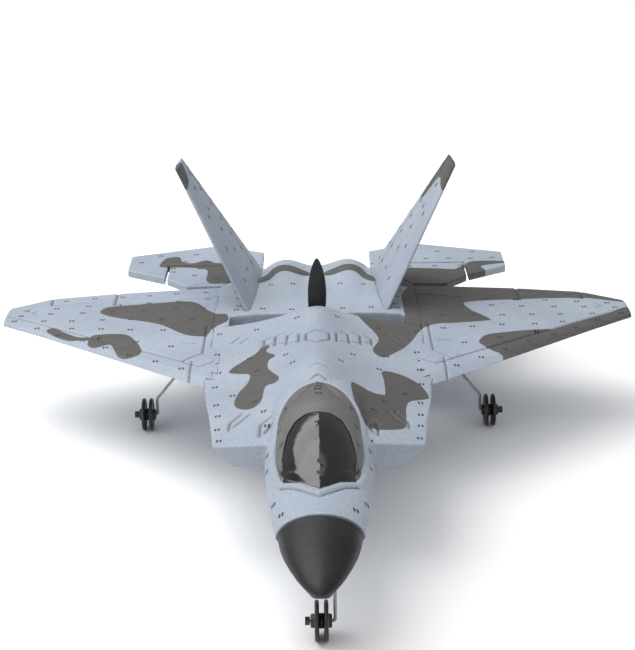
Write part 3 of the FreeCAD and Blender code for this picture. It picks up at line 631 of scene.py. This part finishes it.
def make_skin(node, voxel, lines, outlines, material, side=0, rounds=3):
    """A rounded foam skin over a CAD node, with moulded lines and camouflage."""
    skin = rounded_copy(node, voxel, rounds)
    mesh = skin.data
    co, normal = mesh_points(mesh)
    mm = to_mm(co)
    flat = fin_plane(mm, side) if side else mm[:, :2]
    depth, dark = carve(mm, flat, lines, mirrored=not side)
    facing = np.abs(normal[:, 2]) if not side else np.ones(len(mm))
    above = normal[:, 2] > -0.25
    depth *= np.clip((facing - 0.15) * 3, 0, 1) * above
    mesh.vertices.foreach_set("co", (co - normal * (depth * MM)[:, None]).ravel())
    store(mesh, "camo", np.where(above, camo_depth(flat, outlines), UNPAINTED))
    store(mesh, "frame", frame_paint(node, mm, above))
    # Painted shade for the cut lines and for the seam behind the nose cone.
    store(mesh, "groove", np.maximum(dark * above, cone_seam(mm)))
    mesh.materials.clear()
    mesh.materials.append(material)
    adopt(skin, node)
    return skin


def make_skins(materials):
    foam = materials["foam_grey"]
    body_lines = PANEL_LINES + VENTS + RIM_LINES
    skins = [
        make_skin("forward_fuselage", 0.62, body_lines, CAMO_PLAN, foam),
        make_skin("rear_fuselage", 0.6, PANEL_LINES + NOZZLE_LINES, CAMO_PLAN, foam),
        make_skin("nose_cone", 0.4, [], [], materials["nose_black"], rounds=1),
        make_skin("battery_hatch", 0.4, [], [], foam, rounds=1),
    ]
    for name, side in SIDES.items():
        skins.append(make_skin(name + "_wing", 0.46, PANEL_LINES, CAMO_PLAN, foam, rounds=2))
        skins.append(make_skin(name + "_fin", 0.42, FIN_LINES, CAMO_FIN[name], foam, side, rounds=2))
        skins.append(make_skin(name + "_tailplane", 0.42, TAIL_LINES, CAMO_PLAN, foam, rounds=2))
        skins.append(make_skin(name + "_elevator", 0.42, TAIL_LINES, CAMO_PLAN, foam, rounds=2))
    return {skin.name[5:]: skin for skin in skins}


def surface_of(pieces):
    vertices = []
    faces = []
    for piece in pieces:
        first = len(vertices)
        vertices += [v.co.copy() for v in piece.data.vertices]
        faces += [[first + i for i in face.vertices] for face in piece.data.polygons]
    return BVHTree.FromPolygons(vertices, faces)


# ---- rivets ----
def spaced(line, spacing):
    """Points along a line at equal distances."""
    line = np.array(line, float)
    length = np.linalg.norm(line[-1] - line[0])
    count = max(int(length / spacing), 1)
    return [line[0] + (line[-1] - line[0]) * i / count for i in range(count + 1)]


def tick(at, normal, along, size):
    """Eight corners of a small flat tick that lies on the surface."""
    side = normal.cross(along).normalized()
    ahead = side.cross(normal)
    corners = []
    for lift in (-size[2], size[2]):
        for a, b in ((-1, -1), (1, -1), (1, 1), (-1, 1)):
            corners.append(at + ahead * (a * size[0]) + side * (b * size[1]) + normal * lift)
    return corners


TICK_SIZE = (0.38 * MM, 0.95 * MM, 0.06 * MM)
TICK_SHIFT = 0.72                 # mm from a rivet's middle to each of its two ticks
BOX_FACES = [(3, 2, 1, 0), (4, 5, 6, 7), (0, 1, 5, 4), (1, 2, 6, 5), (2, 3, 7, 6), (3, 0, 4, 7)]


def rivet_piece(name, places, body, material):
    """One mesh of ticks from (place, normal, direction) triples, two ticks to each rivet."""
    vertices = []
    faces = []
    for at, normal, along in places:
        for shift in (-TICK_SHIFT, TICK_SHIFT):
            first = len(vertices)
            spot = at + along * (shift * MM)
            vertices += tick(spot, normal, along, TICK_SIZE)
            faces += [[first + i for i in face] for face in BOX_FACES]
    piece = add_object(name, vertices, faces, material, smooth=False)
    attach(piece, body)
    return piece


def drop_rivets(rows, tree, rng):
    """Rivet places found by looking straight down on the skins, on both sides of the plane."""
    places = []
    for line, spacing in rows:
        for x, station in spaced(line, spacing):
            for side in SIDES.values():
                jitter = rng.uniform(-0.7, 0.7, 2)
                start = point(side * x + jitter[0], station + jitter[1], LOOK_DOWN)
                spot, normal, _, _ = tree.ray_cast(start, Vector((0, 0, -1)))
                if spot is not None and normal.z > 0.3:
                    along = Vector((1, 0.12 * side, 0))
                    along = (along - normal * along.dot(normal)).normalized()
                    places.append((spot, normal, along))
    return places


def fin_point(side, across, station, up):
    """A place given on a fin's own plane, in the frame."""
    turned = Matrix.Rotation(FIN_TOE, 3, "Z") @ Vector((across, station - FIN_FOOT[1], up))
    leant = Matrix.Rotation(FIN_LEAN, 3, "Y") @ turned
    return point(side * (leant.x + FIN_FOOT[0]), leant.y + FIN_FOOT[1], leant.z + FIN_FOOT[2])


def fin_rivets(side, tree):
    places = []
    for line, spacing in FIN_RIVETS:
        for station, up in spaced(line, spacing):
            for face in (-8.0, 8.0):
                start = fin_point(side, face, station, up)
                end = fin_point(side, -face, station, up)
                spot, normal, _, _ = tree.ray_cast(start, (end - start).normalized())
                if spot is not None:
                    along = (Vector((0, 1, 0)) - normal * normal.y).normalized()
                    places.append((spot, normal, along))
    return places


def make_rivets(skins, materials):
    rng = np.random.default_rng(SEED)
    black = materials["black_plastic"]
    fixed = [s for n, s in skins.items() if not n.endswith(("elevator", "hatch", "fin", "cone"))]
    rows = WING_RIVETS + BODY_RIVETS + DECK_RIVETS + TAIL_RIVETS
    places = drop_rivets(rows, surface_of(fixed), rng)
    for name, side in SIDES.items():
        places += fin_rivets(side, surface_of([skins[name + "_fin"]]))
    rivet_piece("foam_rivet_marks", places, "airframe", black)
    for name in SIDES:
        tree = surface_of([skins[name + "_elevator"]])
        spots = drop_rivets(TAIL_RIVETS, tree, rng)
        rivet_piece(name + "_elevator_marks", spots, name + "_elevator_unit", black)


# ---- canopy ----
BUBBLE_CURVE = smooth_curve(BUBBLE, 8, closed=False).T


def bubble_at(station):
    """Half-width and crest height of the canopy bubble at a station."""
    along, half, crest = BUBBLE_CURVE
    return np.interp(station, along, half), np.interp(station, along, crest)


def bubble_height(x, station, ridge=0.0):
    half, crest = bubble_at(station)
    u = min(abs(x) / max(half, 0.1), 0.999)
    return 2.0 + (crest - 2.0) * math.sqrt(1 - u * u) - ridge * abs(x)


def half_width(outline, station):
    """Half-width of a canopy outline at a station. The outline runs from front to rear."""
    stations = [p[1] for p in outline]
    widths = [p[0] for p in outline]
    return float(np.interp(station, stations, widths))


def canopy_height(tree, x, station, ridge=0.0):
    """Height of the bubble, or of the foam where that is higher."""
    spot, _, _, _ = tree.ray_cast(point(x, station, LOOK_DOWN), Vector((0, 0, -1)))
    ground = (spot.z - WING_Z) / MM if spot is not None else 0.0
    return max(ground, bubble_height(x, station, ridge))


def bead_height(x, station):
    """Small beads of glue along the middle of the glazing."""
    total = 0.0
    for bead_x, bead_station, size in GLASS_BEADS:
        away = math.hypot(x - bead_x, station - bead_station) / size
        total += 0.35 * size * math.exp(-2.5 * away * away)
    return total


def add_sheet(name, vertices, rows, columns, material, wall):
    """A sheet of rows by columns of quads, with a wall of some millimetres below it."""
    faces = []
    for i in range(rows):
        for j in range(columns):
            a = i * (columns + 1) + j
            faces.append((a, a + 1, a + columns + 2, a + columns + 1))
    sheet = add_object(name, vertices, faces, material)
    solid = sheet.modifiers.new("wall", "SOLIDIFY")
    solid.thickness = wall * MM
    solid.offset = -1.0
    settle(sheet)
    return sheet


def make_glazing(tree, materials):
    """Crowned glazing with a faint ridge along the middle and a thickness below."""
    rows = 90
    columns = 72
    front, rear = GLASS_HALF[0][1], GLASS_HALF[-1][1]
    vertices = []
    for i in range(rows + 1):
        t = i / rows
        station = front + (rear - front) * (0.5 - 0.5 * math.cos(math.pi * t))
        half = max(half_width(GLASS_HALF, station), 0.02)
        for j in range(columns + 1):
            x = half * (2 * j / columns - 1)
            height = canopy_height(tree, x, station, GLASS_RIDGE) + bead_height(x, station)
            vertices.append(point(x, station, height + GLASS_LIFT))
    glass = add_sheet("glazing_shell", vertices, rows, columns, materials["glazing_black"], 1.0)
    adopt(glass, "canopy_glazing")


def frame_lift(s, station):
    """How far the frame stands above the foam. It sinks in at its outer edge and its front end."""
    lift = 0.32 * min(1.0, 4 * (1 - s)) - 0.14
    return lift - float(np.interp(station, (65.0, 69.5), (1.3, 0.0)))


def frame_recess(x, station):
    """Depth of the two shallow recesses that run along the frame behind the glazing."""
    at = np.array([[abs(x) - 6.2, station]])
    gap = line_distance(at, [(0.6, 128.5), (-0.6, 108.0)])[0]
    return 0.45 * max(0.0, 1.0 - gap / 1.1)


def make_canopy_frame(tree, materials):
    """The painted frame: a thin shell draped over the bubble and the foam behind it."""
    rings = 60
    around = 220
    places = []
    heights = []
    for k in range(around + 1):
        t = k / around
        inner = outline_point(GLASS_HALF, t)
        outer = outline_point(FRAME_HALF, t)
        for j in range(rings + 1):
            s = j / rings
            x = inner[0] + (outer[0] - inner[0]) * s
            station = inner[1] + (outer[1] - inner[1]) * s
            places.append((x, station))
            height = canopy_height(tree, x, station) + frame_lift(s, station)
            heights.append(height - frame_recess(x, station))
    heights = np.array(heights).reshape(around + 1, rings + 1)
    for _ in range(2):
        heights[1:-1] = (heights[:-2] + 2 * heights[1:-1] + heights[2:]) / 4
    vertices = [point(*place, height) for place, height in zip(places, heights.ravel())]
    shell = add_sheet("canopy_frame", vertices, around, rings, materials["fairing_brown"], 0.5)
    adopt(shell, "canopy_fairing")
    return shell


def outline_point(half_outline, t):
    """A point round a symmetric outline: 0 at the +X front, 0.5 at the rear, 1 at the -X front."""
    side = 1 if t <= 0.5 else -1
    u = 2 * t if t <= 0.5 else 2 * (1 - t)
    line = np.array(half_outline, float)
    lengths = np.concatenate([[0], np.cumsum(np.linalg.norm(np.diff(line, axis=0), axis=1))])
    at = u * lengths[-1]
    return side * np.interp(at, lengths, line[:, 0]), np.interp(at, lengths, line[:, 1])


# ---- turned and swept pieces ----
def lathe(name, profile, centre, axis, material, segments=64):
    """A closed turned piece from (position along the axis, radius) points."""
    vertices = []
    for along, radius in profile:
        for i in range(segments):
            a = 2 * math.pi * i / segments
            u, v = radius * math.cos(a), radius * math.sin(a)
            offset = (along, u, v) if axis == "X" else (u, along, v)
            vertices.append(centre + Vector(offset) * MM)
    faces = []
    rings = len(profile)
    for r in range(rings):
        for i in range(segments):
            j = (i + 1) % segments
            n = (r + 1) % rings
            faces.append((r * segments + i, r * segments + j, n * segments + j, n * segments + i))
    return add_object(name, vertices, faces, material)


def wheel_profile(radius, bore):
    """Two thin rounded discs on a stepped hub, as one closed profile round the axle."""
    profile = [(-3.7, bore), (-3.7, 2.1), (-3.4, 2.5), (-2.6, 2.5)]
    for middle in (-1.65, 1.65):
        profile += [(middle - 0.45, 2.7), (middle - 0.45, radius - 1.9), (middle - 0.8, radius - 1.5)]
        for k in range(7):
            a = math.pi * k / 6
            profile.append((middle - 0.8 * math.cos(a), radius - 0.8 + 0.8 * math.sin(a)))
        profile += [(middle + 0.8, radius - 1.5), (middle + 0.45, radius - 1.9), (middle + 0.45, 2.7)]
    return profile + [(2.6, 2.5), (3.6, 2.5), (3.9, 2.1), (3.9, bore)]


def make_wheels(materials):
    for name in ("nose_wheel", "left_wheel", "right_wheel"):
        low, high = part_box(name)
        radius = (high.z - low.z) / 2 / MM
        middle = (low + high) / 2
        side = -1 if name in ("nose_wheel", "right_wheel") else 1
        middle.x -= side * 0.1 * MM
        profile = [(side * along, r) for along, r in wheel_profile(radius, 0.66)]
        wheel = lathe("turned_" + name, profile, middle, "X", materials["black_plastic"])
        adopt(wheel, name)


def blade_ring(radius, chord, pitch, thick, steps=20):
    """An airfoil-like closed ring of points across a blade: (x, y) offsets in mm."""
    ring = []
    for i in range(steps):
        a = 2 * math.pi * i / steps
        along = 0.5 * chord * math.cos(a)
        camber = 0.12 * thick * (1 - (2 * along / chord) ** 2)
        across = 0.5 * thick * math.sin(a) * (0.55 + 0.45 * abs(math.sin(a))) + camber
        c, s = math.cos(pitch), math.sin(pitch)
        ring.append((along * c - across * s, along * s + across * c, radius))
    return ring


def make_propeller(materials):
    """Two smooth leaf-shaped blades with rounded tips on a turned hub."""
    low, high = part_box("propeller")
    centre = (low + high) / 2
    span = (high.z - low.z) / 2 / MM
    vertices = []
    faces = []
    sections = 30
    steps = 20
    for turn in (1, -1):
        first = len(vertices)
        for k in range(sections + 1):
            t = k / sections
            radius = 1.6 + (span - 1.6) * (1 - (1 - t) ** 1.4)
            leaf = math.sin(math.pi * min(1, 0.22 + 0.78 * (radius / span)) ** 1.15) ** 0.62
            chord = 0.35 + 9.1 * max(leaf, 0.0)
            pitch = math.radians(40 - 28 * radius / span)
            thick = 2.3 * (1 - 0.72 * radius / span)
            for x, y, z in blade_ring(radius, chord, pitch, thick, steps):
                vertices.append(centre + Vector((turn * x, y, turn * z)) * MM)
        for k in range(sections):
            for i in range(steps):
                a = first + k * steps
                j = (i + 1) % steps
                face = (a + i, a + j, a + steps + j, a + steps + i)
                faces.append(face)
        faces.append([first + i for i in reversed(range(steps))])
        faces.append([first + sections * steps + i for i in range(steps)])
    blades = add_object("leaf_blades", vertices, faces, materials["black_plastic"])
    adopt(blades, "propeller")
    hub_profile = [(-2.9, 0.75), (-2.9, 2.6), (-2.4, 3.1), (2.4, 3.1), (2.9, 2.6), (2.9, 0.75)]
    hub = lathe("propeller_hub", hub_profile, centre, "Y", materials["black_plastic"])
    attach(hub, "propeller_unit")


def rounded_path(points, radius, steps=6):
    """A bent wire's centre line: straight runs with a tight arc at each bend."""
    path = [points[0]]
    for before, corner, after in zip(points, points[1:], points[2:]):
        back = (before - corner).normalized()
        ahead = (after - corner).normalized()
        start = corner + back * radius
        end = corner + ahead * radius
        for i in range(steps + 1):
            t = i / steps
            path.append(start.lerp(corner, t).lerp(corner.lerp(end, t), t))
    return path + [points[-1]]


def make_wire(name, node, points, radius, bend, materials):
    curve = bpy.data.curves.new(name, "CURVE")
    curve.dimensions = "3D"
    curve.bevel_depth = radius * MM
    curve.bevel_resolution = 5
    curve.use_fill_caps = True
    path = rounded_path(points, bend * MM)
    spline = curve.splines.new("POLY")
    spline.points.add(len(path) - 1)
    for spot, at in zip(spline.points, path):
        spot.co = (*at, 1)
    wire = bpy.data.objects.new(name, curve)
    bpy.context.scene.collection.objects.link(wire)
    bpy.context.view_layer.update()
    mesh = bpy.data.meshes.new_from_object(wire.evaluated_get(bpy.context.evaluated_depsgraph_get()))
    bpy.data.objects.remove(wire)
    mesh.materials.clear()
    mesh.materials.append(materials["steel"])
    mesh.polygons.foreach_set("use_smooth", [True] * len(mesh.polygons))
    tube = bpy.data.objects.new(name, mesh)
    bpy.context.scene.collection.objects.link(tube)
    adopt(tube, node)


def make_legs(materials):
    """Wire legs: the same bends as the CAD legs, with real bend radii."""
    axle = AXLE_HEIGHT - WING_Z / MM
    x, y = MAIN_WHEEL
    upright = x - 4.5
    knee = axle + 7.6
    top = upright - 0.82 * (-4.0 - knee)
    for name, side in SIDES.items():
        bends = [(x + 5.3, axle), (upright, axle), (upright, knee), (top, -4.0), (top, -1.4)]
        points = [point(side * a, y, z) for a, z in bends]
        make_wire(name + "_leg_wire", name + "_gear_leg", points, WIRE_RADIUS, WIRE_BEND, materials)
    bends = [(-5.2, 41.0, axle), (4.8, 41.0, axle), (4.8, 47.0, -16.5), (4.8, 47.0, -12.0)]
    points = [point(*bend) for bend in bends]
    make_wire("nose_leg_wire", "nose_gear_leg", points, WIRE_RADIUS, WIRE_BEND, materials)


# ---- stage ----
def make_floor():
    size = 4.0
    corners = [(-size, -size, 0), (size, -size, 0), (size, size, 0), (-size, size, 0)]
    m = Nodes("pale_floor")
    tone = m.noise(3.0)
    m.set(Base_Color=m.ramp(tone, [(0.3, (0.90, 0.90, 0.90)), (0.7, (0.92, 0.92, 0.92))]), Roughness=0.9)
    floor = add_object("floor", [Vector(c) for c in corners], [(0, 1, 2, 3)], m.material, smooth=False)


def make_world():
    world = bpy.data.worlds.new("studio")
    bpy.context.scene.world = world
    world.use_nodes = True
    back = world.node_tree.nodes["Background"]
    back.inputs["Color"].default_value = (0.96, 0.98, 1.0, 1)
    back.inputs["Strength"].default_value = 0.38


def add_light(name, kind, place, energy):
    data = bpy.data.lights.new(name, kind)
    data.energy = energy
    light = bpy.data.objects.new(name, data)
    bpy.context.scene.collection.objects.link(light)
    light.location = place
    return light


def ceiling_panel(place, size, energy):
    """A level panel over the -X side. Its straight edge is what the glazing mirrors along its ridge."""
    panel = add_light("ceiling_panel", "AREA", place, energy)
    panel.data.shape = "RECTANGLE"
    panel.data.size, panel.data.size_y = size


def soft_sun(toward, energy):
    """A wide, soft light from the front and the -X side, even over the whole floor."""
    sun = add_light("soft_sun", "SUN", toward, energy)
    sun.data.angle = math.radians(110)
    sun.rotation_euler = (-Vector(toward)).to_track_quat("-Z", "Y").to_euler()


CAMERA_PLACE = (0.0, -0.692, 0.2966)
CAMERA_LENS = 96.0
CAMERA_DOWN = math.radians(18.4)
CAMERA_ROLL = math.radians(-0.8)


def make_camera():
    """A long lens in front of the nose, looking down on the plane, rolled a little."""
    data = bpy.data.cameras.new("camera")
    data.lens = CAMERA_LENS
    data.clip_start = 0.02
    camera = bpy.data.objects.new("camera", data)
    bpy.context.scene.collection.objects.link(camera)
    aim = Matrix.Rotation(math.pi / 2 - CAMERA_DOWN, 4, "X") @ Matrix.Rotation(CAMERA_ROLL, 4, "Z")
    camera.matrix_world = Matrix.Translation(CAMERA_PLACE) @ aim
    bpy.context.scene.camera = camera


def main():
    materials = make_materials()
    dress_nodes(materials)
    plain = ["servo_screws", "firewall", "equipment_tray", "flight_controller", "speed_controller",
             "battery_plug", "left_servo", "right_servo", "motor_bell", "axle_caps", "propeller_nut"]
    bevel_nodes(plain, 0.00018)
    skins = make_skins(materials)
    covers = surface_of([skins["forward_fuselage"]])
    make_rivets(skins, materials)
    make_glazing(covers, materials)
    frame_shell = make_canopy_frame(covers, materials)
    spots = drop_rivets(FRAME_RIVETS, surface_of([frame_shell]), np.random.default_rng(SEED))
    rivet_piece("frame_rivet_marks", spots, "airframe", materials["black_plastic"])
    make_wheels(materials)
    make_propeller(materials)
    make_legs(materials)
    make_floor()
    make_world()
    ceiling_panel((-0.80, 0.50, 1.15), (1.58, 1.60), 21.0)
    soft_sun((-0.32, -0.50, 0.90), 1.8)
    make_camera()
    bpy.context.scene.view_settings.view_transform = "Standard"


main()
